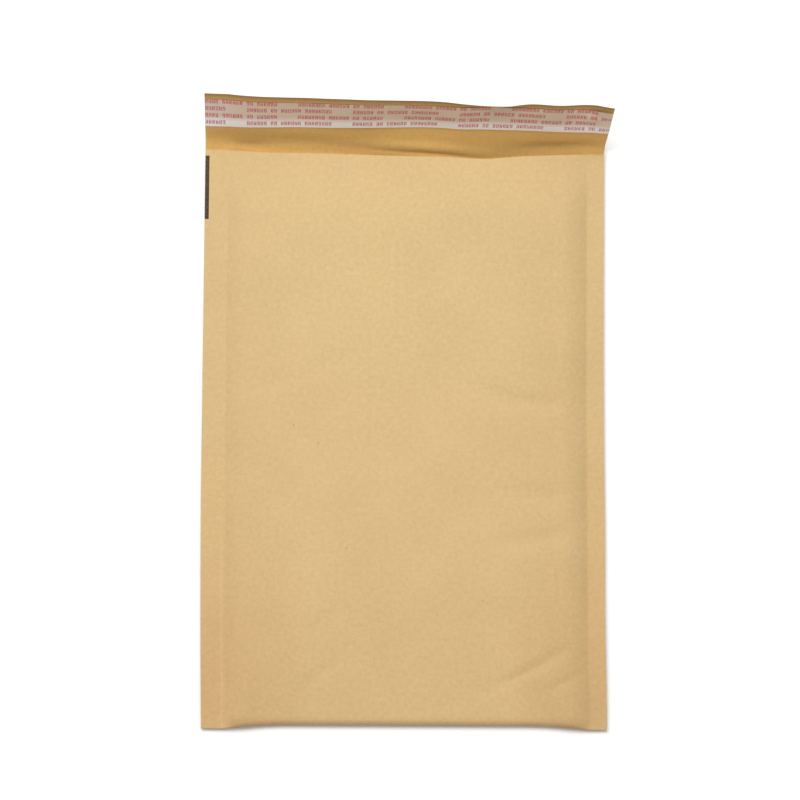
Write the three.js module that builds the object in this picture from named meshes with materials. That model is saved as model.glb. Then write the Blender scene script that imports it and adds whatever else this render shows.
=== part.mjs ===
// A padded mailing envelope: a kraft paper sheet folded into a pocket, a web of bubble film folded
// inside it, both sealed together down the two sides, and a closing flap that carries a strip of
// adhesive under a peel-off liner. It lies on its back with the flap half raised.
//
// Millimetres. +X runs across the envelope, +Y towards the flap, +Z up. The origin is the middle of
// the finished envelope's footprint, on the surface that it lies on.
import * as THREE from "three";

// ---- Driving dimensions ----
const WIDTH = 240; // cut edge to cut edge, across both side seams
const LENGTH = 345; // bottom fold to flap crease
const FLAP = 46; // flap crease to the flap's free edge, along the paper
const SEAM = 11; // width of each sealed side seam

const PAPER = 0.15; // kraft sheet
const BUBBLE = 3; // bubble film with its bubbles standing
const BUBBLE_END = 1.2; // the same at the film's cut ends, where the bubbles are crushed
const FILM = 0.12; // bubble film crushed flat in a seam
const GAP = 0.1; // air between the paper and the film
const POCKET = 6.5; // air between the two film walls, in the middle of the pocket
const POCKET_LEAST = 0.3; // the same at the seams and at the bottom fold
const POCKET_CROWN = 4; // 2 would be a round crown across the pocket; higher is flatter

const ADHESIVE = 0.1; // hot-melt strip
const LINER = 0.08; // peel-off liner
const STRIP_GAP = 0.05; // air under each of the two
const LINER_FROM = 20.2; // the liner's near and far edges, measured from the flap crease
const LINER_TO = 41.6;
const OVERHANG = 1.8; // how far the liner passes the adhesive along each long edge

// ---- Shape of the lying envelope ----
const CRUSH = 16; // distance inside a seam over which the bubbles reach full height
const SEAM_LIFT = 3; // height of the seams over the surface that the back lies on
const LIFT_RUN = 24; // distance inside a seam where the back panel touches down
const FOLD_PULL = 2.2; // how far the thick bottom fold draws in from the seams' corners
const FOLD_RUN = 40;
const SWELL = 90; // distance over which the pocket opens from the bottom fold
const LINING_SHORT = 9; // how far the lining's cut ends stop short of the mouth
const END_CRUSH = 32; // length of lining over which its ends thin out

const EDGE_STEP = 1.4; // how far the front panel's cut edge draws back inside a seam
const EDGE_STEP_RUN = 32;
// Places where it draws back further: each a depth, the middle of the dip and its run.
const EDGE_DIPS = [
  { depth: 2.5, at: 24, run: 77 },
  { depth: 1.5, at: 48, run: 17 },
  { depth: 1.3, at: 118, run: 18 },
];

// The flap stands steeper towards its right-hand end and towards its free edge, which curls up
// right of the middle and falls open near the right-hand corner. Angles are in degrees over the
// surface. Those of the foot and the body vary across the flap: each is a list of factors of the
// rising powers of x / HALF.
const FOOT_TILT = [34, 10, 4];
const BODY_TILT = [62.3, 2, 3, 4.2];
const BODY_FROM = 16; // distance from the crease at which the body's tilt is reached
const CREASE_RUN = 1.6; // length of paper that bends at the crease
const LIP_FROM = 39; // the lip that curls, measured from the crease
const LIP_CURL = { tilt: 28, at: 45, run: 25 };
const LIP_FALL = { tilt: 26, at: 106, run: 11 };
const FLAP_DRIFT = 2.3; // how far the flap's free edge leans towards +X

const HALF = WIDTH / 2;
const INNER = HALF - SEAM; // half width of the pocket

const { clamp, lerp, smoothstep, degToRad } = THREE.MathUtils;
// A quarter sine: rises from 0 to 1 over one unit, steep at first and level at the end.
const rise = (t) => Math.sin((Math.PI / 2) * clamp(t, 0, 1));
const bell = (t) => Math.exp(-t * t);
const bump = (x, { at, run }) => bell((x - at) / run);
const powers = (factors, t) => factors.reduce((sum, factor, n) => sum + factor * t ** n, 0);

// Distance inside the nearer side seam, 0 within the seam itself.
const inset = (x) => Math.max(INNER - Math.abs(x), 0);

// ---- Thicknesses and outlines ----
function liningThickness(x, y) {
  const end = LENGTH - LINING_SHORT;
  const standing = lerp(BUBBLE, BUBBLE_END, smoothstep(y, end - END_CRUSH, end));
  return lerp(FILM, standing, rise(inset(x) / CRUSH));
}

// Air between the two film walls at a point of the pocket.
function pocketHeight(x, y) {
  const across = 1 - (Math.min(Math.abs(x), INNER) / INNER) ** POCKET_CROWN;
  return lerp(POCKET_LEAST, POCKET, across * rise(y / SWELL));
}

// Outside height of the whole stack: paper, film, air, film, paper.
const stackHeight = (x, y) => 2 * (PAPER + GAP + liningThickness(x, y)) + pocketHeight(x, y);

// Underside of the back panel over the surface.
const underside = (x) => SEAM_LIFT * (1 - rise(inset(x) / LIFT_RUN));

// Outermost line of the bottom fold.
const foldLine = (x) => FOLD_PULL * rise(inset(x) / FOLD_RUN);

// Cut edge of the front panel.
const frontEdge = (x) =>
  LENGTH -
  EDGE_STEP * rise(inset(x) / EDGE_STEP_RUN) -
  EDGE_DIPS.reduce((sum, dip) => sum + dip.depth * bump(x, dip), 0);

// Tilt of the flap at a distance s from the crease, in radians.
function flapTilt(x, s) {
  const foot = powers(FOOT_TILT, x / HALF);
  const body = powers(BODY_TILT, x / HALF);
  const lip = LIP_CURL.tilt * bump(x, LIP_CURL) - LIP_FALL.tilt * bump(x, LIP_FALL);
  const tilt = lerp(foot, body, rise(s / BODY_FROM));
  return degToRad(tilt + lip * smoothstep(s, LIP_FROM, FLAP)) * rise(s / CREASE_RUN);
}

// ---- Places on the paper's outside face ----
// Each row is a function of x that gives a point, the direction into the paper there, and the
// thickness of the lining under it.
const onFront = (share) => (x) => {
  const start = foldLine(x) + stackHeight(x, 0) / 2;
  const y = lerp(start, frontEdge(x), share);
  const swell = pocketHeight(x, y - start) - pocketHeight(x, y);
  const z = underside(x) + stackHeight(x, y) + swell;
  return { x, y, z, inY: 0, inZ: -1, lining: liningThickness(x, y) };
};

const onFold = (share) => (x) => {
  const radius = stackHeight(x, 0) / 2;
  const inY = Math.sin(share * Math.PI);
  const inZ = -Math.cos(share * Math.PI);
  const y = foldLine(x) + radius * (1 - inY);
  const z = underside(x) + radius * (1 - inZ);
  return { x, y, z, inY, inZ, lining: liningThickness(x, 0) };
};

const onBack = (share) => (x) => {
  const start = foldLine(x) + stackHeight(x, 0) / 2;
  const y = lerp(start, LENGTH, share);
  return { x, y, z: underside(x), inY: 0, inZ: 1, lining: liningThickness(x, y) };
};

const onFlap = (s) => (x) => {
  const steps = Math.ceil(s * 4);
  let y = LENGTH;
  let z = underside(x);
  for (let k = 0; k < steps; k++) {
    const tilt = flapTilt(x, (s * (k + 0.5)) / steps);
    y += (Math.cos(tilt) * s) / steps;
    z += (Math.sin(tilt) * s) / steps;
  }
  const tilt = flapTilt(x, s);
  return { x: x + (FLAP_DRIFT * s) / FLAP, y, z, inY: -Math.sin(tilt), inZ: Math.cos(tilt) };
};

// ---- Columns and rows of the sheets ----
// All sheets share them, so that layers a tenth of a millimetre apart stay clear of each other.
const HALF_COLUMNS = [0, 22, 44, 62, 76, 87, 96, 102, 106, INNER, HALF];
const COLUMNS = [...HALF_COLUMNS.slice(1).reverse().map((x) => -x), ...HALF_COLUMNS];

const LINING_END = 1 - LINING_SHORT / LENGTH;
const FRONT_SHARES = [
  1, LINING_END, 0.95, 0.92, 0.88, 0.8, 0.68, 0.52, 0.38, 0.27, 0.18, 0.1, 0.05, 0.02,
];
const FOLD_STEPS = 8;
const FOLD_SHARES = Array.from({ length: FOLD_STEPS + 1 }, (_, i) => i / FOLD_STEPS);
const BACK_SHARES = [0.1, 0.25, 0.45, 0.65, 0.8, 0.88, 0.92, 0.95, LINING_END, 1];
const ADHESIVE_ROWS = [LINER_FROM + OVERHANG, 26, 30, 35, LINER_TO - OVERHANG];
const LINER_ROWS = [LINER_FROM, ...ADHESIVE_ROWS, LINER_TO];
const FLAP_ROWS = [0.8, 1.6, 4, 7, 10, 13.5, 17, ...LINER_ROWS, 43.8, FLAP];

const pocketRows = [
  ...FRONT_SHARES.map(onFront),
  ...FOLD_SHARES.map(onFold),
  ...BACK_SHARES.map(onBack),
];
const liningRows = pocketRows.slice(1, -1);

// A sheet between two depths under the paper's outside face, as one closed solid: two grids of
// points and a rim that joins them. The depths are functions of a row's point.
function sheet(name, rows, nearDepth, farDepth, material) {
  const positions = [];
  for (const depth of [nearDepth, farDepth])
    for (const row of rows)
      for (const x of COLUMNS) {
        const p = row(x);
        positions.push(p.x, p.y + depth(p) * p.inY, p.z + depth(p) * p.inZ);
      }

  const across = COLUMNS.length;
  const lastRow = rows.length - 1;
  const lastColumn = across - 1;
  const near = (row, column) => row * across + column;
  const far = (row, column) => rows.length * across + near(row, column);
  const index = [];
  const quad = (a, b, c, d) => index.push(a, b, c, a, c, d);
  for (let r = 0; r < lastRow; r++)
    for (let c = 0; c < lastColumn; c++) {
      quad(near(r, c), near(r + 1, c), near(r + 1, c + 1), near(r, c + 1));
      quad(far(r, c), far(r, c + 1), far(r + 1, c + 1), far(r + 1, c));
    }
  for (let c = 0; c < lastColumn; c++) {
    quad(near(0, c), near(0, c + 1), far(0, c + 1), far(0, c));
    quad(near(lastRow, c + 1), near(lastRow, c), far(lastRow, c), far(lastRow, c + 1));
  }
  for (let r = 0; r < lastRow; r++) {
    quad(near(r + 1, 0), near(r, 0), far(r, 0), far(r + 1, 0));
    quad(near(r, lastColumn), near(r + 1, lastColumn), far(r + 1, lastColumn), far(r, lastColumn));
  }

  const geometry = new THREE.BufferGeometry();
  geometry.setAttribute("position", new THREE.Float32BufferAttribute(positions, 3));
  geometry.setIndex(index);
  geometry.computeVertexNormals();
  const mesh = new THREE.Mesh(geometry, material);
  mesh.name = name;
  return mesh;
}

// ---- The four pieces ----
const matte = (color, roughness) =>
  new THREE.MeshStandardMaterial({ color, roughness, metalness: 0 });
const kraft = matte(0xdcbd8a, 0.85);
const film = matte(0xe6ebee, 0.3);
const hotMelt = matte(0xe2d6b4, 0.35);
const linerFilm = matte(0xd8ccc0, 0.4);

const level = (depth) => () => depth;
const liningOut = PAPER + GAP;
const adhesiveUnder = PAPER + STRIP_GAP;
const adhesiveOver = adhesiveUnder + ADHESIVE;
const linerUnder = adhesiveOver + STRIP_GAP;
const linerOver = linerUnder + LINER;

const envelope = new THREE.Group();
envelope.add(
  sheet("paper_envelope", [...pocketRows, ...FLAP_ROWS.map(onFlap)], level(0), level(PAPER), kraft),
  sheet("bubble_lining", liningRows, level(liningOut), (p) => liningOut + p.lining, film),
  sheet("adhesive_strip", ADHESIVE_ROWS.map(onFlap), level(adhesiveUnder), level(adhesiveOver), hotMelt),
  sheet("release_liner", LINER_ROWS.map(onFlap), level(linerUnder), level(linerOver), linerFilm),
);

// Bring the middle of the footprint to the origin.
const box = new THREE.Box3().setFromObject(envelope);
envelope.position.set(-(box.min.x + box.max.x) / 2, -(box.min.y + box.max.y) / 2, -box.min.z);

export default envelope;
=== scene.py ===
"""A padded mailing envelope in kraft paper, lying on its back with its flap half raised.

The paper, the bubble lining, the adhesive and the peel-off liner are each built here as a fine mesh
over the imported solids. All four follow one laid-out web: the front panel, the bottom fold, the back
panel and the flap. Shapes are worked out in millimetres in the envelope's own frame, whose zero is
the middle of the bottom fold on the floor, and moved into the frame's metres at the end.
"""

import bpy
import numpy as np
from mathutils import Matrix, Vector


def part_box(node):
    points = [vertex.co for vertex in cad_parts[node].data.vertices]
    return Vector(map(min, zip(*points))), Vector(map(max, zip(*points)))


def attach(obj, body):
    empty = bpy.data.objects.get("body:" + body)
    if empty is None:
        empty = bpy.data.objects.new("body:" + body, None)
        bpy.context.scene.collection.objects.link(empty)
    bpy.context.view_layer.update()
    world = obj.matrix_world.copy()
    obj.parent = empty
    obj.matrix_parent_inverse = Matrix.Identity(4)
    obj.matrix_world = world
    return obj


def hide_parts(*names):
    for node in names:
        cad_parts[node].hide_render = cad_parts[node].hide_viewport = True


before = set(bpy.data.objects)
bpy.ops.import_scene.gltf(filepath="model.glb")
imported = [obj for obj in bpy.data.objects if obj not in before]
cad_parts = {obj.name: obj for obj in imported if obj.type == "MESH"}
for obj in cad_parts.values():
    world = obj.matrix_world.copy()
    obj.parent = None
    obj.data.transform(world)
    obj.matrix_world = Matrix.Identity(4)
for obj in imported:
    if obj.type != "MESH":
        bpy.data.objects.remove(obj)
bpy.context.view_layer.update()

MM = 0.001

# ---- Driving dimensions in millimetres, as in the part's source ----
WIDTH = 240.0  # cut edge to cut edge, across both side seams
LENGTH = 345.0  # bottom fold to flap crease
FLAP = 46.0  # flap crease to the flap's free edge, along the paper
SEAM = 11.0  # width of each sealed side seam
PAPER = 0.15
BUBBLE = 3.0  # bubble film with its bubbles standing
BUBBLE_END = 1.2  # the same at the film's cut ends, where the bubbles are crushed
FILM = 0.12  # bubble film crushed flat in a seam
GAP = 0.1  # air between the paper and the film
POCKET = 6.5  # air between the two film walls, in the middle of the pocket
POCKET_LEAST = 0.3  # the same at the seams and at the bottom fold
POCKET_CROWN = 4  # 2 would be a round crown across the pocket; higher is flatter
ADHESIVE = 0.1
LINER = 0.08
STRIP_GAP = 0.05  # air under the adhesive and under the liner
LINER_FROM = 20.2  # the liner's near and far edges, measured from the flap crease
LINER_TO = 41.6
OVERHANG = 1.8  # how far the liner passes the adhesive along each long edge

CRUSH = 16.0  # distance inside a seam over which the bubbles reach full height
SEAM_LIFT = 3.0  # height of the seams over the floor
LIFT_RUN = 24.0  # distance inside a seam where the back panel touches down
FOLD_PULL = 2.2  # how far the thick bottom fold draws in from the seams' corners
FOLD_RUN = 40.0
SWELL = 90.0  # distance over which the pocket opens from the bottom fold
LINING_SHORT = 9.0  # how far the lining's cut ends stop short of the mouth
END_CRUSH = 32.0  # length of lining over which its ends thin out
EDGE_STEP = 1.4  # how far the front panel's cut edge draws back inside a seam
EDGE_STEP_RUN = 32.0
# Places where it draws back further: each a depth, the middle of the dip and its run.
EDGE_DIPS = ((2.5, 24.0, 77.0), (1.5, 48.0, 17.0), (1.3, 118.0, 18.0))

# The flap's tilt over the floor in degrees, across its width: each is a list of factors of the
# rising powers of x / HALF.
FOOT_TILT = (34.0, 10.0, 4.0)
BODY_TILT = (62.3, 2.0, 3.0, 4.2)
BODY_FROM = 16.0  # distance from the crease at which the body's tilt is reached
CREASE_RUN = 1.6  # length of paper that bends at the crease
FLAP_LEAD = 5.5  # the most that the crease comes before the end of the back panel
UPPER_FROM, UPPER_TO = 16.0, 24.0  # where the flap's lower part passes into its upper part
LIP_FROM, LIP_TO = 39.0, 44.5  # where the upper part passes into the lip
# Degrees added at one place across the flap, each with the place's middle and run. The lower part
# lies between the crease and the liner, the upper part under the liner, and the lip is the free edge.
LOWER_TILTS = ((-7.0, 25.0, 55.0), (2.5, 32.0, 10.0), (5.0, -112.0, 22.0))
UPPER_TILTS = ((5.0, 2.0, 42.0), (1.5, 24.0, 14.0), (-1.5, 52.0, 14.0), (-4.2, 106.0, 15.0),
               (-3.0, -112.0, 22.0))
LIP_TILTS = ((50.0, 52.0, 15.0), (9.0, 36.0, 12.0), (9.0, 90.0, 14.0), (5.0, 114.0, 10.0))
FLAP_DRIFT = 2.3  # how far the flap's free edge leans towards +X

HALF = WIDTH / 2
SEAM_SHIFT = 1.8  # the left seam is wider than the right by twice this
INNER = HALF - SEAM - 1  # half width of the pocket, 1 mm inside the plain solid's

MOUTH_SAG = 3.0  # how much further the mouth's paper lip sinks than the plain solid's
MOUTH_SAG_RUN = 30.0

# The long edges aren't quite straight. The left one leans to the right near the bottom fold. The right
# one stands a little out, and draws in at two places: each a depth, the middle along Y and its run.
LEFT_LEAN = 1.8
LEFT_LEAN_RUN = 160.0
RIGHT_OUT = 0.3
RIGHT_DIPS = ((1.2, 200.0, 105.0), (0.65, 65.0, 42.0))

# The middle of the bottom fold, in the frame's metres.
cad_low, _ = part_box("paper_envelope")
ORIGIN = np.array([cad_low[0] + HALF * MM, cad_low[1], 0.0])


# ---- Curves and noise ----
def share(value, low, high):
    return np.clip((value - low) / (high - low), 0, 1)


def smooth(value, low, high):
    t = share(value, low, high)
    return t * t * (3 - 2 * t)


def rise(t):
    """A quarter sine: from 0 to 1 over one unit, steep at first and level at the end."""
    return np.sin(np.pi / 2 * np.clip(t, 0, 1))


def bell(t):
    return np.exp(-t * t)


def bump(x, height, middle, run):
    return height * bell((x - middle) / run)


def bumps(x, places):
    return sum(bump(x, *place) for place in places)


def hump(x, up, across, middle, run):
    """A bump across a face at one place up it, where it has a middle and a run of its own."""
    return bump(x, *across) * bell((up - middle) / run)


def powers(factors, t):
    return sum(factor * t ** n for n, factor in enumerate(factors))


def lerp(a, b, t):
    return a + (b - a) * t


def cloud(u, v, lump, seed):
    """Smooth noise from -1 to 1 with lumps of the given size, the same on every run."""
    cells = 64
    lattice = np.random.default_rng(seed).uniform(-1, 1, (cells, cells))
    u, v = np.broadcast_arrays(np.asarray(u) / lump, np.asarray(v) / lump)
    i, j = np.floor(u).astype(int), np.floor(v).astype(int)
    a, b = smooth(u - i, 0, 1), smooth(v - j, 0, 1)

    def corner(di, dj):
        return lattice[(i + di) % cells, (j + dj) % cells]

    near = lerp(corner(0, 0), corner(1, 0), a)
    far = lerp(corner(0, 1), corner(1, 1), a)
    return lerp(near, far, b)


def clouds(u, v, layers):
    """Layers of smooth noise, each a height, a lump size and a seed."""
    return sum(height * cloud(u, v, lump, seed) for height, lump, seed in layers)


def lifted_clouds(u, v, layers):
    """The same, raised until it is nowhere below zero."""
    return sum(height for height, _, _ in layers) + clouds(u, v, layers)


CREASE_TIP = 0.06  # how far along its half wave a crease starts, so that its ends aren't quite flat
CREASE_FULLNESS = 0.7  # below 1, a crease keeps its depth longer and drops faster at its ends


def crease(x, y, start, end, depth, width, bow):
    """Depth of a crease along a bowed line from start to end, fading out towards both ends."""
    start, end = np.array(start, float), np.array(end, float)
    run = end - start
    length = np.hypot(*run)
    along = ((x - start[0]) * run[0] + (y - start[1]) * run[1]) / length**2
    aside = ((y - start[1]) * run[0] - (x - start[0]) * run[1]) / length
    t = np.clip(along, 0, 1)
    beyond = (along - t) * length
    aside = aside + bow * 4 * t * (1 - t)
    fade = np.sin(np.pi * lerp(CREASE_TIP, 1 - CREASE_TIP, t)) ** CREASE_FULLNESS
    return depth * fade * bell(np.hypot(aside, beyond) / width)


# ---- The envelope's outline and thickness, in millimetres ----
def inset(x):
    """Distance inside the nearer side seam, 0 within the seam itself."""
    return np.maximum(INNER - np.abs(x - SEAM_SHIFT), 0)


def lining_thickness(x, y):
    end = LENGTH - LINING_SHORT
    standing = lerp(BUBBLE, BUBBLE_END, smooth(y, end - END_CRUSH, end))
    return lerp(FILM, standing, rise(inset(x) / CRUSH))


def crown(x):
    """1 over the middle of the pocket, falling to 0 at the seams."""
    return 1 - (1 - inset(x) / INNER) ** POCKET_CROWN


def pocket_height(x, y):
    return lerp(POCKET_LEAST, POCKET, crown(x) * rise(y / SWELL))


def stack_height(x, y):
    return 2 * (PAPER + GAP + lining_thickness(x, y)) + pocket_height(x, y)


def underside(x):
    return SEAM_LIFT * (1 - rise(inset(x) / LIFT_RUN))


def fold_line(x):
    return FOLD_PULL * rise(inset(x) / FOLD_RUN)


def front_edge(x):
    return LENGTH - EDGE_STEP * rise(inset(x) / EDGE_STEP_RUN) - bumps(x, EDGE_DIPS)


def past_crease(x, s):
    """Distance past the crease of a place at a distance s past the back panel's end. The crease runs
    along the front edge, so it comes a little before that end."""
    return s + LENGTH - front_edge(x)


def flap_tilt(x, s):
    """Tilt of the flap over the floor, in radians, at a distance s past the back panel's end."""
    past = past_crease(x, s)
    foot, body = powers(FOOT_TILT, x / HALF), powers(BODY_TILT, x / HALF)
    lower, upper, lip = (bumps(x, tilts) for tilts in (LOWER_TILTS, UPPER_TILTS, LIP_TILTS))
    tilt = lerp(foot, body, rise(past / BODY_FROM))
    tilt = tilt + lerp(lower, upper, smooth(s, UPPER_FROM, UPPER_TO)) + lip * smooth(s, LIP_FROM, LIP_TO)
    return np.radians(tilt) * rise(past / CREASE_RUN)


def sideways(x, y):
    """How far a point moves to the right, because the long edges aren't quite straight."""
    left = LEFT_LEAN * (1 - rise(y / LEFT_LEAN_RUN))
    right = RIGHT_OUT - bumps(y, RIGHT_DIPS)
    return lerp(left, right, (1 + x / HALF) / 2)


# ---- Relief: what handling has done to the panels, in millimetres out of the plane ----
# Each crease of the front panel is a start, an end, a depth, a width and how far its middle bows aside.
FRONT_CREASES = [
    ((42, 203), (97, 193), 0.90, 5.0, 5.0),
    ((60, 196), (98, 188), 0.40, 4.0, 0.0),
    ((60, 140), (98, 137), 1.15, 5.8, 1.0),
    ((54, 110), (99, 116), 1.15, 5.2, 2.0),
    ((56, 26), (98, 49), 1.20, 2.8, 1.5),
    ((84, 22), (106, 33), 0.95, 3.0, 0.0),
    ((20, 13), (60, 28), 0.30, 5.0, 0.0),
    ((-86, 200), (-66, 206), 0.80, 5.0, 0.0),
    ((-62, 208), (-30, 220), 0.50, 5.0, 0.0),
    ((-66, 20), (-30, 46), 0.45, 4.0, 0.0),
    ((-60, 54), (-36, 70), 0.40, 4.0, 0.0),
    ((-96, 66), (-40, 34), 0.20, 6.0, 0.0),
]

# Layers of noise, each a height, a lump size and a seed.
FRONT_SWELLS = ((0.30, 62, 11), (0.16, 27, 12), (0.05, 11, 13))
FRONT_COCKLING = ((0.018, 5, 14),)
SEAM_WAVES = ((0.10, 13, 16),)
SEAM_SLOW_WAVE = ((0.35, 46, 15),)
BACK_SWELLS = ((0.25, 48, 21), (0.08, 19, 22))
FLAP_WAVES = ((0.30, 34, 31), (0.10, 12, 32))

RELIEF_IN = 14.0  # the front panel's relief comes in over this distance from the seams
RELIEF_UP = 16.0  # and over this distance from the bottom fold
BACK_UP = 20.0  # the same for the back panel's, from the bottom fold
BACK_DOWN = 10.0  # and from the crease

RIDGE = 0.22  # the ridge along the left seam's inner edge
RIDGE_RIGHT = 0.25  # the right seam's ridge is this share of it
RIDGE_RUN = 0.8
RIDGE_FAINT = 0.2  # share that is left of a ridge in the envelope's upper part
RIDGE_FULL_TO, RIDGE_FAINT_FROM = 0.35 * LENGTH, 0.6 * LENGTH
CRIMP = 0.03
CRIMP_PITCH = 2.4
WAVY = 23.0  # width of each side, cut edge inwards, that the seams' waves reach
SIDES_APART = 500.0  # how far from the middle each side takes its slow wave from the noise

# The buckle over the crease follows a slanting line: its distance from the crease at one x, and its
# slope. The buckle, the valley under it and the dents are each a height with its middle and run
# along x, and then a middle and a run up the flap.
BUCKLE_LINE = 5.2
BUCKLE_LINE_AT = -22.0
BUCKLE_SLOPE = -0.055
BUCKLE = ((0.9, 12, 34), 4.5, 3.6)
VALLEY = ((0.5, 15, 30), 0, 1.6)
FLAP_DENTS = [
    ((0.95, -75, 45), 9, 6),
    ((0.8, -94, 11), 5, 3),
    ((1.65, 95, 26), 7, 4.5),
]
FOOT_RUN = 3.0  # distance from the crease over which the flap's relief comes in


def front_creases(x, y, wider=1.0):
    return sum(crease(x, y, start, end, depth, width * wider, bow)
               for start, end, depth, width, bow in FRONT_CREASES)


def front_relief(x, y):
    """The front panel: soft swells, creases, and fine cockling. It fades out at the seams."""
    inside = smooth(inset(x), 0, RELIEF_IN) * smooth(y, 0, RELIEF_UP)
    swell = clouds(x, y, FRONT_SWELLS)
    return inside * (swell - front_creases(x, y)) + clouds(x, y, FRONT_COCKLING)


def seam_relief(x, y):
    """The side seams: the ridge along a seam's inner edge, crimp lines, and a slow wave."""
    out = np.abs(x - SEAM_SHIFT) - INNER
    ridge = RIDGE * bell(out / RIDGE_RUN) * lerp(1.0, RIDGE_RIGHT, x > 0)
    ridge = ridge * lerp(1.0, RIDGE_FAINT, smooth(y, RIDGE_FULL_TO, RIDGE_FAINT_FROM))
    crimp = CRIMP * np.sin(2 * np.pi * out / CRIMP_PITCH) * smooth(out, 0, 1)
    wave = clouds(np.sign(x) * SIDES_APART, y, SEAM_SLOW_WAVE) + clouds(x, y, SEAM_WAVES)
    return ridge + crimp + wave * smooth(np.abs(x), HALF - WAVY, HALF)


def back_relief(x, y):
    """The back panel can only lift off the floor, so its relief is never below zero."""
    swell = lifted_clouds(x, y, BACK_SWELLS)
    return swell * smooth(y, 0, BACK_UP) * smooth(LENGTH - y, 0, BACK_DOWN)


def flap_relief(x, s):
    """The flap's inner face: a buckle over the crease, the valley under it, dents and slow waves."""
    past = past_crease(x, s)
    line = BUCKLE_LINE + BUCKLE_SLOPE * (x - BUCKLE_LINE_AT)
    buckle = hump(x, past - line, *BUCKLE) - hump(x, past - line, *VALLEY)
    dents = sum(hump(x, past, *dent) for dent in FLAP_DENTS)
    return (buckle - dents + clouds(x, s, FLAP_WAVES)) * smooth(past, 0, FOOT_RUN)


# ---- The web: rows of points on the paper's outside face ----
# A row gives, for every column x, a point and its place on the web laid flat. Along the laid web
# the front panel is negative, the bottom fold is zero and the back panel and flap are positive.
def mouth_sag(x, y):
    """How far the front panel sinks at the mouth, where no bubbles hold it up."""
    return MOUTH_SAG * crown(x) * smooth(y, LENGTH - MOUTH_SAG_RUN, LENGTH)


def front_row(part):
    def row(x):
        start = fold_line(x) + stack_height(x, 0) / 2
        y = lerp(start, front_edge(x), part)
        swell = pocket_height(x, y - start) - pocket_height(x, y)
        z = underside(x) + stack_height(x, y) + swell - mouth_sag(x, y)
        return x + sideways(x, y), y, z + front_relief(x, y) + seam_relief(x, y), -y

    return row


def fold_row(part):
    def row(x):
        radius = stack_height(x, 0) / 2
        y = fold_line(x) + radius * (1 - np.sin(part * np.pi))
        z = underside(x) + radius * (1 + np.cos(part * np.pi))
        relief = lerp(front_relief(x, y), back_relief(x, y), smooth(part, 0, 1))
        z = z + relief + seam_relief(x, y)
        return x + sideways(x, y), y, z, (part * 2 - 1) * radius

    return row


def back_row(part):
    def row(x):
        start = fold_line(x) + stack_height(x, 0) / 2
        y = lerp(start, LENGTH - FLAP_LEAD, part)
        return x + sideways(x, y), y, underside(x) + back_relief(x, y) + seam_relief(x, y), y

    return row


FLAP_STEP = 0.25  # length of the steps that lead up the flap to one of its rows


def flap_row(s):
    """A row at a distance s past the back panel's end, reached by steps along the tilted flap."""
    def row(x):
        run = s + FLAP_LEAD
        steps = int(np.ceil(run / FLAP_STEP))
        y = np.full_like(x, LENGTH - FLAP_LEAD)
        z = underside(x) + back_relief(x, y) + seam_relief(x, y)
        for k in range(steps):
            tilt = flap_tilt(x, run * (k + 0.5) / steps - FLAP_LEAD)
            y = y + np.cos(tilt) * run / steps
            z = z + np.sin(tilt) * run / steps
        tilt = flap_tilt(x, s)
        lift = flap_relief(x, s)
        y = y - np.sin(tilt) * lift
        z = z + np.cos(tilt) * lift
        drift = sideways(x, LENGTH) + FLAP_DRIFT * max(s, 0) / FLAP
        return x + drift, y, z, LENGTH + s

    return row


def spread(*stops):
    """Values from stop to stop: each stop after the first is (value, step up to it)."""
    values = [float(stops[0])]
    for value, step in stops[1:]:
        count = max(1, round(abs(value - values[-1]) / step))
        values += list(np.linspace(values[-1], value, count + 1)[1:])
    return np.array(values)


def both_sides(half):
    return np.concatenate([-half[:0:-1], half])


# Columns are places across the web, in millimetres. Rows of the panels and the fold are shares of
# their length, and the flap's are distances past the back panel's end.
FINE_COLUMNS = both_sides(spread(0, (84, 2.4), (103, 1.6), (112, 0.5), (HALF, 1.0)))
FRONT_PARTS = spread(1, (0.985, 0.0025), (0.93, 0.004), (0.1, 0.0064), (0, 0.004))
FOLD_PARTS = spread(0, (1, 1 / 14))[1:]
BACK_PARTS = spread(0, (0.04, 0.006), (0.96, 0.0145), (1, 0.006))[1:]
FLAP_STOPS = spread(-FLAP_LEAD, (6, 0.5), (LINER_FROM, 1.0), (LINER_TO, 1.3), (FLAP, 0.7))[1:]


# ---- Meshes ----
class Web:
    """A grid of points on the paper's outside face, with the direction into the paper at each."""

    def __init__(self, rows, columns):
        found = [[np.broadcast_to(v, columns.shape) for v in row(columns)] for row in rows]
        x, y, z, along = np.moveaxis(np.array(found), 1, 0)
        self.points = np.stack([x, y, z], -1)
        self.flat = np.stack([np.broadcast_to(columns, x.shape), along, np.zeros_like(x)], -1)
        down, over = np.gradient(self.points, axis=(0, 1))
        inward = np.cross(over, down)
        self.inward = inward / np.linalg.norm(inward, axis=-1, keepdims=True)

    def at(self, depth):
        """The grid at a depth under the outside face, which may vary from point to point."""
        return self.points + np.asarray(depth)[..., None] * self.inward


def grid_faces(rows, columns, first, flipped):
    r, c = np.meshgrid(np.arange(rows - 1), np.arange(columns - 1), indexing="ij")
    a = (first + r * columns + c).ravel()
    corners = [a, a + columns, a + columns + 1, a + 1]
    return np.stack(corners[::-1] if flipped else corners, -1)


def rim_faces(rows, columns, other):
    """The faces that join the edges of two grids, the second of which starts at `other`."""
    grid = np.arange(rows * columns).reshape(rows, columns)
    edge = np.concatenate([grid[0, :], grid[1:, -1], grid[-1, -2::-1], grid[-2:0:-1, 0]])
    after = np.roll(edge, -1)
    return np.stack([edge, after, after + other, edge + other], -1)


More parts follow.
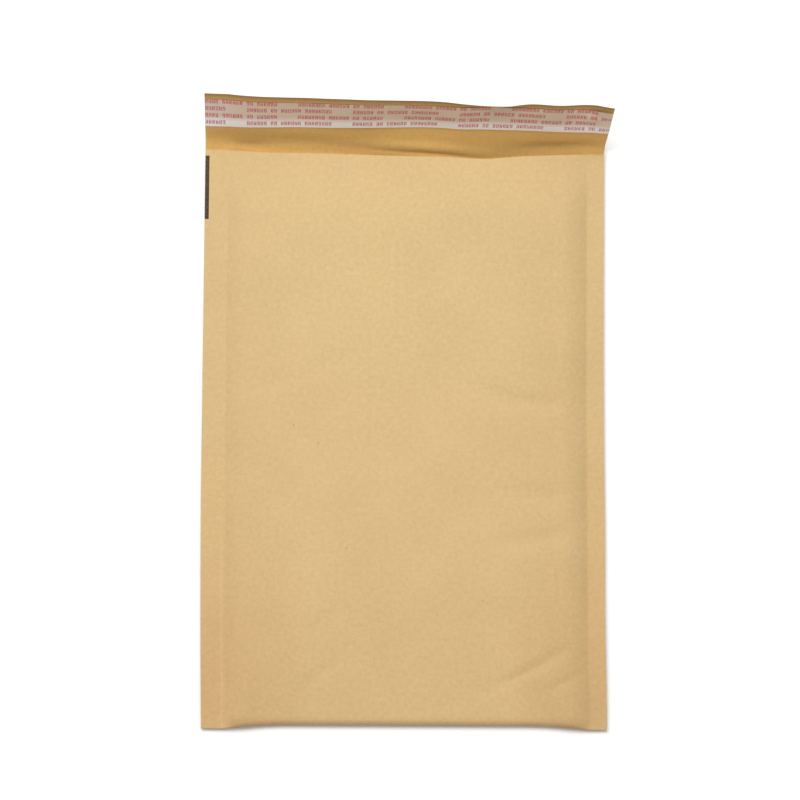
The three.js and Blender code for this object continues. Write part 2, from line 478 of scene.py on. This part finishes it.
def new_mesh(name, points, faces, materials, flat=None, slots=None):
    """A mesh object from millimetre points, in the frame's metres."""
    mesh = bpy.data.meshes.new(name)
    mesh.from_pydata((points * MM + ORIGIN).tolist(), [], [f.tolist() for f in faces])
    mesh.update()
    mesh.shade_smooth()
    if flat is not None:
        laid = mesh.attributes.new("laid_flat", "FLOAT_VECTOR", "POINT")
        laid.data.foreach_set("vector", (flat * MM).astype(np.float32).ravel())
    for material in materials:
        mesh.materials.append(material)
    if slots is not None:
        mesh.polygons.foreach_set("material_index", np.asarray(slots, np.int32))
    piece = bpy.data.objects.new(name, mesh)
    bpy.context.scene.collection.objects.link(piece)
    return piece


def sheet(name, web, near, far, materials):
    """A thin closed sheet between two depths. The near face takes the first material, and the far
    face and the cut edges take the last."""
    rows, columns = web.points.shape[:2]
    count = rows * columns
    points = np.concatenate([web.at(near).reshape(-1, 3), web.at(far).reshape(-1, 3)])
    flat = np.concatenate([web.flat.reshape(-1, 3)] * 2)
    near_faces = grid_faces(rows, columns, 0, False)
    far_faces = grid_faces(rows, columns, count, True)
    rim = rim_faces(rows, columns, count)
    slots = np.zeros(len(near_faces) + len(far_faces) + len(rim))
    slots[len(near_faces):] = len(materials) - 1
    faces = np.concatenate([near_faces, far_faces, rim])
    piece = new_mesh(name, points, faces, materials, flat, slots)
    sharpen_rim(piece, len(near_faces) + len(far_faces))
    return piece


def sharpen_rim(piece, first_rim_face):
    """Marks the edges of the rim's faces as sharp, so that cut edges stay crisp."""
    mesh = piece.data
    sharp = mesh.attributes.new("sharp_edge", "BOOLEAN", "EDGE")
    marks = np.zeros(len(mesh.edges), bool)
    pairs = {tuple(sorted(e.vertices)): e.index for e in mesh.edges}
    for face in list(mesh.polygons)[first_rim_face:]:
        for key in face.edge_keys:
            marks[pairs[tuple(sorted(key))]] = True
    sharp.data.foreach_set("value", marks)


# ---- Materials. Noise scales are lumps to the metre of the web laid flat ----
class Nodes:
    """A small helper that makes and wires shader nodes."""

    def __init__(self, name):
        self.material = bpy.data.materials.new(name)
        self.material.use_nodes = True
        self.tree = self.material.node_tree
        self.shader = self.tree.nodes["Principled BSDF"]

    def new(self, kind, **settings):
        node = self.tree.nodes.new(kind)
        for key, value in settings.items():
            setattr(node, key, value)
        return node

    def link(self, value, socket):
        if isinstance(value, bpy.types.NodeSocket):
            self.tree.links.new(value, socket)
        else:
            socket.default_value = value

    def maths(self, operation, *values):
        node = self.new("ShaderNodeMath", operation=operation)
        for value, socket in zip(values, node.inputs):
            self.link(value, socket)
        return node.outputs[0]

    def laid(self):
        node = self.new("ShaderNodeAttribute", attribute_name="laid_flat")
        return node.outputs["Vector"]

    def stretched(self, vector, scale, turn=0.0):
        node = self.new("ShaderNodeMapping")
        self.link(vector, node.inputs["Vector"])
        node.inputs["Rotation"].default_value = (0, 0, turn)
        node.inputs["Scale"].default_value = scale
        return node.outputs[0]

    def noise(self, vector, scale, detail=3.0, roughness=0.5):
        node = self.new("ShaderNodeTexNoise")
        self.link(vector, node.inputs["Vector"])
        node.inputs["Scale"].default_value = scale
        node.inputs["Detail"].default_value = detail
        node.inputs["Roughness"].default_value = roughness
        return node.outputs["Fac"]

    def ranged(self, value, low, high, to_low=0.0, to_high=1.0):
        node = self.new("ShaderNodeMapRange")
        for given, socket in zip((value, low, high, to_low, to_high), node.inputs):
            self.link(given, socket)
        return node.outputs[0]

    def mix(self, factor, a, b, blend="MIX"):
        node = self.new("ShaderNodeMix", data_type="RGBA", blend_type=blend)
        self.link(factor, node.inputs["Factor"])
        for value, socket in ((a, node.inputs["A"]), (b, node.inputs["B"])):
            self.link((*value, 1.0) if isinstance(value, tuple) else value, socket)
        return node.outputs["Result"]

    def times(self, first, *others):
        for other in others:
            first = self.maths("MULTIPLY", first, other)
        return first

    def within(self, value, low, high):
        """1 where low < value < high."""
        return self.times(self.maths("GREATER_THAN", value, low), self.maths("LESS_THAN", value, high))

    def apart(self, value, middle):
        """Distance of a length from `middle` millimetres."""
        return self.maths("ABSOLUTE", self.maths("SUBTRACT", value, middle * MM))

    def fade(self, value, none, full):
        """0 where a length is `none` millimetres, rising to 1 where it is `full`."""
        return self.ranged(value, none * MM, full * MM)

    def tinted(self, colour, amount, tint):
        return self.mix(amount, colour, self.mix(1.0, colour, tint, "MULTIPLY"))

    def split(self, vector):
        node = self.new("ShaderNodeSeparateXYZ")
        self.link(vector, node.inputs[0])
        return node.outputs[0], node.outputs[1]

    def bump(self, height, distance, strength=1.0, under=None):
        node = self.new("ShaderNodeBump")
        node.inputs["Strength"].default_value = strength
        node.inputs["Distance"].default_value = distance
        self.link(height, node.inputs["Height"])
        if under is not None:
            self.link(under, node.inputs["Normal"])
        return node.outputs[0]


# Tints that multiply the paper's colour. Their ranges are in millimetres, from no tint to all of it:
# aside of the middle line between the seams, along from the bottom fold, or past the flap's free edge.
# Patches are noise: its scale, the range taken from it, and the least and most that are left of a tint.
SEALED_TINT = (0.985, 0.965, 0.95)
SEALED_ASIDE = (INNER - 8, INNER + 1)
SEALED_ALONG = (190, 20)
SEALED_PATCHES = (45, 0.3, 0.7, 0.6, 1.1)
# Painted shade: darker beside the seams, where the panel slopes down into them.
SIDE_SHADE = (0.974, 0.962, 0.962)
SIDE_SHADE_ASIDE = (60, 98)
LOW_TINT = (1.005, 0.965, 0.945)
LOW_ALONG = (260, 60)
CORNER_TINT = (0.95, 0.915, 0.905)
CORNER_ASIDE = (INNER - 55, INNER - 18)
CORNER_ALONG = (110, 30)
CORNER_PATCHES = (38, 0.35, 0.6, 0.55, 1.05)
# Painted highlight: a paler line along the left seam's ridge.
RIDGE_HIGHLIGHT = (1.06, 1.055, 1.06)
RIDGE_HIGHLIGHT_AT = SEAM_SHIFT - INNER - 1.4
RIDGE_HIGHLIGHT_HALF = (1.1, 0.3)
RIDGE_HIGHLIGHT_ALONG = (150, 90)
# Painted shade along the bottom fold, where the paper turns under.
FOLD_SHADE = (0.82, 0.80, 0.80)
FOLD_SHADE_ASIDE = (INNER, INNER - 6)
FOLD_SHADE_ALONG = (8, 2)
# Painted shade towards the flap's free edge: dark on the inside face, milder on the outside face.
EDGE_SHADE_OUTSIDE = (0.80, 0.78, 0.80)
EDGE_SHADE_INSIDE = (0.50, 0.475, 0.62)
EDGE_SHADE_RUN = (-5.5, -0.8)

# Each noise is a scale, a detail and a roughness, and what it does to the paper's lightness is the
# range taken from it and the factors at its two ends.
MOST = (0.3, 0.7)  # most values of a noise lie between these two
HAZE, HAZE_LIGHT = (22, 4, 0.6), (*MOST, 0.972, 1.028)
MOTTLE, MOTTLE_LIGHT = (370, 5, 0.62), (0.25, 0.75, 0.938, 1.062)
FIBRE, FIBRE_LIGHT = (1, 3, 0.6), (0.6, 1.4, 0.945, 1.055)
FIBRES_ALONG = ((1700, 240, 1), 0.25)  # stretch and turn of the two sets of fibres
FIBRES_ACROSS = ((260, 1500, 1), -0.4)
WARMER = (1.01, 0.98, 0.93)  # the paper's tone varies between these two factors of it
COOLER = (0.99, 1.02, 1.07)
KRAFT_ROUGHNESS = (0.74, 0.86)
TOOTH = (1400, 3, 0.6)
TOOTH_HEIGHT = 0.00006
MOTTLE_HEIGHT = 0.00018
FLECKS = 62  # cells to the metre that may hold a fleck of bark
FLECK_CHOSEN = 0.86  # share of the cells that stay empty
FLECK_RIM = (0.02, 0.045)
FLECK_TONE = (0.35, 0.35, 0.35)
FLECK_STRENGTH = 0.45


def scaled(tone, shares):
    return tuple(channel * part for channel, part in zip(tone, shares))


def kraft(name, tone, edge_shade, eye_mark=False):
    """Kraft paper: a cloudy brown sheet with long fibres, bark flecks and a soft tooth."""
    n = Nodes(name)
    laid = n.laid()
    haze, mottle = n.noise(laid, *HAZE), n.noise(laid, *MOTTLE)
    fibres = n.maths("ADD", *(n.noise(n.stretched(laid, *run), *FIBRE)
                              for run in (FIBRES_ALONG, FIBRES_ACROSS)))
    value = n.times(n.ranged(haze, *HAZE_LIGHT), n.ranged(mottle, *MOTTLE_LIGHT),
                    n.ranged(fibres, *FIBRE_LIGHT))
    hue = n.mix(n.ranged(mottle, *MOST), scaled(tone, WARMER), scaled(tone, COOLER))
    colour = n.mix(1.0, hue, value, "MULTIPLY")
    colour = n.mix(bark_flecks(n, laid), colour, scaled(tone, FLECK_TONE))
    # seam tan, a duller lower part, painted shade and a painted highlight
    colour = tints_and_painted_light(n, laid, colour, edge_shade)
    if eye_mark:
        colour = printed_mark(n, laid, colour)
    n.link(colour, n.shader.inputs["Base Color"])

    n.link(n.ranged(mottle, *MOST, *KRAFT_ROUGHNESS), n.shader.inputs["Roughness"])
    n.shader.inputs["Specular IOR Level"].default_value = 0.3
    n.shader.inputs["Sheen Weight"].default_value = 0.08
    tooth = n.bump(n.noise(laid, *TOOTH), TOOTH_HEIGHT, 0.5)
    n.link(n.bump(mottle, MOTTLE_HEIGHT, 0.5, tooth), n.shader.inputs["Normal"])
    return n.material


def bark_flecks(n, laid):
    """Small dark spots, each in the middle of a cell that chance has chosen."""
    cells = n.new("ShaderNodeTexVoronoi", feature="F1")
    n.link(n.stretched(laid, (FLECKS, FLECKS, 1)), cells.inputs["Vector"])
    cells.inputs["Scale"].default_value = 1.0
    chance, _ = n.split(cells.outputs["Color"])
    chosen = n.maths("GREATER_THAN", chance, FLECK_CHOSEN)
    spot = n.ranged(cells.outputs["Distance"], *FLECK_RIM, 1.0, 0.0)
    return n.times(chosen, spot, FLECK_STRENGTH)


def patches(n, laid, scale, low, high, least, most):
    return n.ranged(n.noise(laid, scale, 3, 0.6), low, high, least, most)


def tints_and_painted_light(n, laid, colour, edge_shade):
    """The heat of the side seals has tanned the seams, most of all near the bottom fold. The lower part
    is a little duller, the lower corners most. Painted shade darkens the sides beside the seams, the
    bottom fold and the flap's free edge, and a painted highlight runs as a paler line beside the left
    seam's ridge."""
    x, along = n.split(laid)
    aside, up = n.apart(x, SEAM_SHIFT), n.maths("ABSOLUTE", along)
    sealed = n.times(n.fade(aside, *SEALED_ASIDE), n.fade(up, *SEALED_ALONG),
                     patches(n, laid, *SEALED_PATCHES))
    colour = n.tinted(colour, sealed, SEALED_TINT)
    # painted shade beside the seams
    colour = n.tinted(colour, n.fade(aside, *SIDE_SHADE_ASIDE), SIDE_SHADE)
    colour = n.tinted(colour, n.fade(up, *LOW_ALONG), LOW_TINT)
    corner = n.times(n.fade(up, *CORNER_ALONG), n.fade(aside, *CORNER_ASIDE),
                     patches(n, laid, *CORNER_PATCHES))
    colour = n.tinted(colour, corner, CORNER_TINT)
    # painted highlight along the left seam's ridge
    ridge_glint = n.times(n.fade(n.apart(x, RIDGE_HIGHLIGHT_AT), *RIDGE_HIGHLIGHT_HALF), n.fade(up, *RIDGE_HIGHLIGHT_ALONG))
    colour = n.tinted(colour, ridge_glint, RIDGE_HIGHLIGHT)
    # painted shade along the bottom fold
    shaded_fold = n.times(n.fade(up, *FOLD_SHADE_ALONG), n.fade(aside, *FOLD_SHADE_ASIDE))
    colour = n.tinted(colour, shaded_fold, FOLD_SHADE)
    # painted shade towards the flap's free edge
    edge = (LENGTH + FLAP + past for past in EDGE_SHADE_RUN)
    return n.tinted(colour, n.fade(along, *edge), edge_shade)


MARK_WIDTH = 2.5
MARK_FROM = 302.8  # its two ends, from the bottom fold
MARK_TO = 341.5
MARK_INK = (0.045, 0.031, 0.017)
MARK_PATCHES = (900, 0.25, 0.6, 0.86, 1.0)


def printed_mark(n, laid, colour):
    """The dark registration bar printed along the front panel's left edge, near the mouth."""
    x, along = n.split(laid)
    across = n.maths("LESS_THAN", x, (MARK_WIDTH - HALF) * MM)
    down = n.within(along, -MARK_TO * MM, -MARK_FROM * MM)
    inked = n.times(across, down, patches(n, laid, *MARK_PATCHES))
    return n.mix(inked, colour, MARK_INK)


PRINT_REPEAT = 62.9  # one run of blocks and the blank after it
PRINT_CELLS = 31  # places for a block in one repeat
PRINT_ROW = 5.5  # from one row to the next
PRINT_FIRST = 3.6  # middle of the first row, from the liner's near edge
PRINT_HEIGHT = 3.2
PRINT_START = -95.5  # where a run starts in the first row
PRINT_RUN = 0.79  # share of a repeat that the blocks take
PRINT_STAGGER = 0.5  # every other row is moved by this share of a repeat, and runs the other way
PRINT_GROUPS = (6, 2, 6, 8)  # blocks in each group, with one place blank between groups
PRINT_BLOCK = (0.12, 0.9)  # the part of its place that a block fills
PRINT_STEM = (0.4, 0.62)  # the part of its place where a block is lighter
PRINT_STEM_INK = 0.5
PRINT_GRAIN = (1150, 620, 1)  # the noise that breaks the blocks up, across and along
PRINT_PATCHES = (1, 0.38, 0.56, 0.3, 1.0)
PRINT_INK = (0.52, 0.04, 0.115)

MILK_BARE_AND_SHEEN = (0.86, 0.83, 0.81)  # where no adhesive lies under the film, and past that as painted sheen
MILK_OVER_GLUE = ((0.62, 0.49, 0.38), (0.69, 0.56, 0.45))
SHEEN_AND_GLUE_EDGE = (2.5, 7.0)  # where the painted sheen fades and the adhesive shows through, past its near edge


def printed_blocks(n, laid, x, along):
    """How much ink lies on the film: rows of small blocks, grouped in lengths like words."""
    up = n.maths("SUBTRACT", along, (LENGTH + LINER_FROM + PRINT_FIRST - PRINT_ROW / 2) * MM)
    row = n.maths("DIVIDE", up, PRINT_ROW * MM)
    in_row = n.maths("ABSOLUTE", n.maths("SUBTRACT", n.maths("FRACT", row), 0.5))
    tall = n.maths("LESS_THAN", in_row, PRINT_HEIGHT / 2 / PRINT_ROW)

    odd = n.maths("MODULO", n.maths("FLOOR", row), 2.0)
    spot = n.maths("DIVIDE", n.maths("SUBTRACT", x, PRINT_START * MM), PRINT_REPEAT * MM)
    spot = n.maths("FRACT", n.maths("ADD", spot, n.maths("MULTIPLY", odd, PRINT_STAGGER)))
    other_way = n.maths("FRACT", n.maths("SUBTRACT", 1.0 + PRINT_RUN, spot))
    spot = n.maths("ADD", n.times(spot, n.maths("SUBTRACT", 1.0, odd)), n.times(other_way, odd))
    cell = n.maths("FRACT", n.maths("MULTIPLY", spot, float(PRINT_CELLS)))
    lighter = n.times(PRINT_STEM_INK, n.within(cell, *PRINT_STEM))
    block = n.times(n.within(cell, *PRINT_BLOCK), n.maths("SUBTRACT", 1.0, lighter))
    broken = patches(n, n.stretched(laid, PRINT_GRAIN), *PRINT_PATCHES)
    return n.times(printed_groups(n, spot), block, tall, broken)


def printed_groups(n, spot):
    """1 in the groups of a run, 0 in the blanks between them and after the last."""
    groups = n.new("ShaderNodeValToRGB")
    ramp = groups.color_ramp
    ramp.interpolation = "CONSTANT"
    ramp.elements.remove(ramp.elements[1])
    ramp.elements[0].color = (1, 1, 1, 1)
    end = -1
    for blocks in PRINT_GROUPS:
        start, end = end + 1, end + 1 + blocks
        if start > 0:
            ramp.elements.new(start / PRINT_CELLS).color = (1, 1, 1, 1)
        ramp.elements.new(end / PRINT_CELLS).color = (0, 0, 0, 1)
    n.link(spot, groups.inputs["Fac"])
    return groups.outputs["Color"]


def liner_film():
    """Milky peel-off film, printed in pink, with the adhesive showing through it. Along its near edge it
    is whiter, partly bare film and partly painted sheen.
    """
    n = Nodes("release_film")
    laid = n.laid()
    x, along = n.split(laid)
    milk = n.mix(n.ranged(n.noise(laid, 60, 3, 0.5), *MOST), *MILK_OVER_GLUE)
    sheen_fades = (LENGTH + LINER_FROM + OVERHANG + past for past in SHEEN_AND_GLUE_EDGE)
    # whiter along the near edge: bare film over the overhang, then painted sheen
    milk = n.mix(n.fade(along, *sheen_fades), MILK_BARE_AND_SHEEN, milk)
    n.link(n.mix(printed_blocks(n, laid, x, along), milk, PRINT_INK), n.shader.inputs["Base Color"])
    n.shader.inputs["Roughness"].default_value = 0.36
    n.shader.inputs["Specular IOR Level"].default_value = 0.6
    n.link(n.bump(n.noise(laid, 260, 3, 0.5), 0.00012, 0.6), n.shader.inputs["Normal"])
    return n.material


def bubble_film():
    """Clear polyethylene film, a little milky, with a fine stretch grain."""
    n = Nodes("bubble_film")
    laid = n.laid()
    haze = n.noise(n.stretched(laid, (90, 500, 1)), 1, 3, 0.5)
    n.link(n.mix(haze, (0.86, 0.88, 0.89), (0.95, 0.96, 0.97)), n.shader.inputs["Base Color"])
    n.link(n.ranged(haze, *MOST, 0.14, 0.24), n.shader.inputs["Roughness"])
    n.shader.inputs["Alpha"].default_value = 0.5
    n.shader.inputs["Specular IOR Level"].default_value = 0.6
    n.link(n.bump(haze, 0.0001, 0.4), n.shader.inputs["Normal"])
    return n.material


def hot_melt():
    """Pale tacky adhesive, laid in fine streaks."""
    n = Nodes("hot_melt")
    laid = n.laid()
    streaks = n.noise(n.stretched(laid, (40, 900, 1)), 1, 3, 0.5)
    n.link(n.mix(streaks, (0.72, 0.62, 0.42), (0.84, 0.76, 0.56)), n.shader.inputs["Base Color"])
    n.link(n.ranged(streaks, *MOST, 0.18, 0.34), n.shader.inputs["Roughness"])
    n.link(n.bump(streaks, 0.00008, 0.5), n.shader.inputs["Normal"])
    return n.material


# ---- Pieces ----
def place(piece, node, slot):
    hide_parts(node)
    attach(piece, "root")
    return piece


OUTSIDE_TONE = (0.622, 0.4455, 0.212)
INSIDE_TONE = (0.74, 0.445, 0.135)


def build_paper():
    rows = [front_row(p) for p in FRONT_PARTS] + [fold_row(p) for p in FOLD_PARTS]
    rows += [back_row(p) for p in BACK_PARTS] + [flap_row(s) for s in FLAP_STOPS]
    web = Web(rows, FINE_COLUMNS)
    faces = [kraft("kraft_outside", OUTSIDE_TONE, EDGE_SHADE_OUTSIDE, eye_mark=True),
             kraft("kraft_inside", INSIDE_TONE, EDGE_SHADE_INSIDE)]
    return place(sheet("paper_sheet", web, 0.0, PAPER, faces), "paper_envelope", "kraft")


DOME_RADIUS = 5.0
DOME_PITCH = 11.5
DOME_SIDES = 12
DOME_RINGS = ((1.0, -0.02), (0.95, 0.5), (0.74, 0.86), (0.36, 0.98))  # radius and height shares
DOME_SHORT = 0.4  # how much a bubble stays under the lining's full thickness
DOME_LEAST = 0.2
CLEAR_OF_FOLD = 14.0
CLEAR_OF_MOUTH = 18.0
CLEAR_OF_SEAM = 7.0

SLACK = 1.5  # under the front panel's creases the lining lies deeper by this many times their depth,
SLACK_WIDER = 2.2  # over this many times their width
BASE_LIFT = 0.25  # how much further the film lies from the paper inside the pocket than at the seams
BASE_LIFT_RUN = (2.0, 14.0)
BASE_SIDE = 5.0  # how far the film stops short of the paper's cut edge
BASE_FINE_FROM = 100.0  # beyond this the film has all of the paper's columns, and short of it,
BASE_COARSE = 3  # one in this many


def on_panel(row, x, y):
    """The points of a panel's outside face at given places."""
    start = fold_line(x) + stack_height(x, 0) / 2
    end = front_edge(x) if row is front_row else LENGTH - FLAP_LEAD
    return np.stack(row((y - start) / (end - start))(x)[:3], -1)


def slack(row, x, y):
    """How much deeper the lining lies under the front panel's creases, which it bridges."""
    return SLACK * front_creases(x, y, SLACK_WIDER) if row is front_row else 0 * x


def bubbles(row, sign, depth):
    """One panel's bubbles: each is rings of points that follow the panel, and a tip."""
    turns = np.arange(DOME_SIDES) * 2 * np.pi / DOME_SIDES
    x, y, high = [], [], []
    for r, h in DOME_RINGS:
        x, y = [*x, *(r * np.cos(turns))], [*y, *(r * np.sin(turns))]
        high += [h] * DOME_SIDES
    centres = np.array(list(dome_centres()))
    x = centres[:, :1] + DOME_RADIUS * np.array([*x, 0.0])
    y = centres[:, 1:] + DOME_RADIUS * np.array([*y, 0.0])
    near = DOME_RADIUS / 10
    ahead = on_panel(row, x, y + near) - on_panel(row, x, y - near)
    aside = on_panel(row, x + near, y) - on_panel(row, x - near, y)
    inward = sign * np.cross(aside, ahead)
    inward /= np.linalg.norm(inward, axis=-1, keepdims=True)
    sunk = slack(row, x, y)
    height = np.maximum(lining_thickness(x, y) - FILM - DOME_SHORT - sunk, DOME_LEAST)
    rise_by = depth + sunk + height * np.array([*high, 1.0])
    flat = np.stack([x, sign * y, np.zeros_like(x)], -1)
    return on_panel(row, x, y) + inward * rise_by[..., None], flat


def dome_faces(first):
    ring = np.arange(DOME_SIDES)
    after = np.roll(ring, -1)
    faces = [list(first + ring[::-1])]
    for k in range(len(DOME_RINGS) - 1):
        low, high = first + k * DOME_SIDES, first + (k + 1) * DOME_SIDES
        faces += np.stack([low + ring, low + after, high + after, high + ring], -1).tolist()
    last = first + (len(DOME_RINGS) - 1) * DOME_SIDES
    tip = first + len(DOME_RINGS) * DOME_SIDES
    faces += [[last + a, last + b, tip] for a, b in zip(ring, after)]
    return faces


def dome_centres():
    """Places of the bubbles on one panel: rows staggered by half a pitch."""
    step = DOME_PITCH * np.sqrt(3) / 2
    reach = INNER - CLEAR_OF_SEAM
    for k, y in enumerate(np.arange(CLEAR_OF_FOLD, LENGTH - CLEAR_OF_MOUTH, step)):
        offset = DOME_PITCH / 2 * (k % 2)
        for x in np.arange(-np.floor(reach / DOME_PITCH) * DOME_PITCH - offset, reach, DOME_PITCH):
            if abs(x) < reach:
                yield x, y


def build_lining():
    """The film's flat web, which follows the paper, with its bubbles joined to it."""
    near_seam = np.abs(FINE_COLUMNS) > BASE_FINE_FROM
    columns = FINE_COLUMNS[near_seam | (np.arange(len(FINE_COLUMNS)) % BASE_COARSE == 0)]
    columns = columns[np.abs(columns) < HALF - BASE_SIDE]
    end = 1 - LINING_SHORT / LENGTH
    rows = [front_row(p) for p in FRONT_PARTS[::2] if p < end]
    rows += [fold_row(p) for p in FOLD_PARTS]
    rows += [back_row(p) for p in BACK_PARTS if p < end]
    web = Web(rows, columns)
    x, along = web.flat[..., 0], web.flat[..., 1]
    depth = PAPER + GAP + BASE_LIFT * smooth(inset(x), *BASE_LIFT_RUN)
    depth = depth + slack(front_row, x, -along) * (along < 0)
    base = sheet("bubble_web", web, depth, depth + FILM, [bubble_film()])

    depth = PAPER + GAP + BASE_LIFT + FILM
    front, front_flat = bubbles(front_row, -1, depth)
    back, back_flat = bubbles(back_row, 1, depth)
    points = np.concatenate([front, back])
    flat = np.concatenate([front_flat, back_flat])
    faces = [face for k in range(len(points)) for face in dome_faces(k * points.shape[1])]
    domes = new_mesh("bubbles", points.reshape(-1, 3), [np.array(f) for f in faces],
                     list(base.data.materials), flat.reshape(-1, 3))
    with bpy.context.temp_override(active_object=base, selected_editable_objects=[base, domes]):
        bpy.ops.object.join()
    return place(base, "bubble_lining", "film")


def build_adhesive():
    edges = (LINER_FROM + OVERHANG, LINER_TO - OVERHANG)
    web = Web([flap_row(s) for s in spread(edges[0], (edges[1], 1.2))], FINE_COLUMNS[::2])
    under = PAPER + STRIP_GAP
    strip = sheet("adhesive", web, under, under + ADHESIVE, [hot_melt()])
    return place(strip, "adhesive_strip", "hot_melt")


LOOSE_FROM, LOOSE_TO = 96.0, 117.0  # the liner comes loose between these places across it
LOOSE_NEAR = 0.25  # its near edge lifts by this share of what its far edge does
LOOSE_LIFT = 0.91
LOOSE_CRUMPLES = ((0.65, 5.5, 41), (0.325, 2.6, 42))  # layers of noise, as in the relief
LINER_WAVES = ((0.10, 21, 43), (0.05, 7, 44))


def build_liner():
    """The peel-off liner lies over the adhesive. Its right-hand end has come loose and crumpled."""
    stops = spread(LINER_FROM, (LINER_TO, 0.8))
    web = Web([flap_row(s) for s in stops], FINE_COLUMNS)
    x, s = np.broadcast_arrays(FINE_COLUMNS[None, :], stops[:, None])
    loose = smooth(x, LOOSE_FROM, LOOSE_TO) * lerp(LOOSE_NEAR, 1.0, smooth(s, LINER_FROM, LINER_TO))
    lift = lifted_clouds(x, s, LINER_WAVES) + loose * (LOOSE_LIFT + clouds(x, s, LOOSE_CRUMPLES))
    under = PAPER + STRIP_GAP + ADHESIVE + STRIP_GAP + lift
    liner = sheet("peel_off_liner", web, under, under + LINER, [liner_film()])
    return place(liner, "release_liner", "release")


# ---- Stage ----
def plain(name, colour, roughness):
    n = Nodes(name)
    n.shader.inputs["Base Color"].default_value = (*colour, 1)
    n.shader.inputs["Roughness"].default_value = roughness
    return n.material


FLOOR_REACH = 4000.0
FLOOR_TONE = (0.96, 0.96, 0.96)


def build_floor():
    corners = np.array([(-1, -1, 0), (1, -1, 0), (1, 1, 0), (-1, 1, 0)]) * FLOOR_REACH
    new_mesh("floor", corners, [np.arange(4)], [plain("pale_floor", FLOOR_TONE, 0.9)])


def aim(thing, at, target, roll=0.0):
    """Points a lamp or camera, whose own view runs down its -Z, at a target."""
    back = (Vector(at) - Vector(target)).normalized()
    right = Vector((0, 1, 0)).cross(back).normalized()
    turn = Matrix((right, back.cross(right), back)).transposed()
    thing.matrix_world = Matrix.Translation(at) @ (turn @ Matrix.Rotation(roll, 3, "Z")).to_4x4()


WORLD_STRENGTH = 0.45
KEY_SIZE = (1.6, 1.0)
KEY_ENERGY = 43.6
KEY_AT = (-0.285, 0.795, 2.135)


def build_light():
    world = bpy.data.worlds.new("studio")
    world.use_nodes = True
    background = world.node_tree.nodes["Background"]
    background.inputs["Color"].default_value = (1, 1, 1, 1)
    background.inputs["Strength"].default_value = WORLD_STRENGTH
    bpy.context.scene.world = world
    key = bpy.data.lights.new("key", "AREA")
    key.shape = "RECTANGLE"
    key.size, key.size_y = KEY_SIZE
    key.energy = KEY_ENERGY
    lamp = bpy.data.objects.new("key", key)
    bpy.context.scene.collection.objects.link(lamp)
    aim(lamp, KEY_AT, (0, 0, 0))


VIEW_DISTANCE = 1250.0
VIEW_CENTRE = (-2.2, 193.6, 10.0)
VIEW_TILT = 5.54  # degrees from straight down, towards the bottom fold
VIEW_TURN = -0.11  # degrees towards the right
VIEW_ROLL = 0.255
VIEW_LENS = 94.9
VIEW_SENSOR = 36.0


def build_camera():
    camera = bpy.data.cameras.new("camera")
    camera.lens = VIEW_LENS
    camera.sensor_width = VIEW_SENSOR
    view = bpy.data.objects.new("camera", camera)
    bpy.context.scene.collection.objects.link(view)
    tilt, turn = np.radians(VIEW_TILT), np.radians(VIEW_TURN)
    back = np.array([np.sin(turn), -np.sin(tilt) * np.cos(turn), np.cos(tilt) * np.cos(turn)])
    centre = np.array(VIEW_CENTRE) * MM + ORIGIN
    aim(view, centre + back * VIEW_DISTANCE * MM, centre, np.radians(VIEW_ROLL))
    bpy.context.scene.camera = view


bpy.context.scene.view_settings.view_transform = "Standard"
build_camera()
build_light()
build_floor()
build_paper()
build_lining()
build_adhesive()
build_liner()
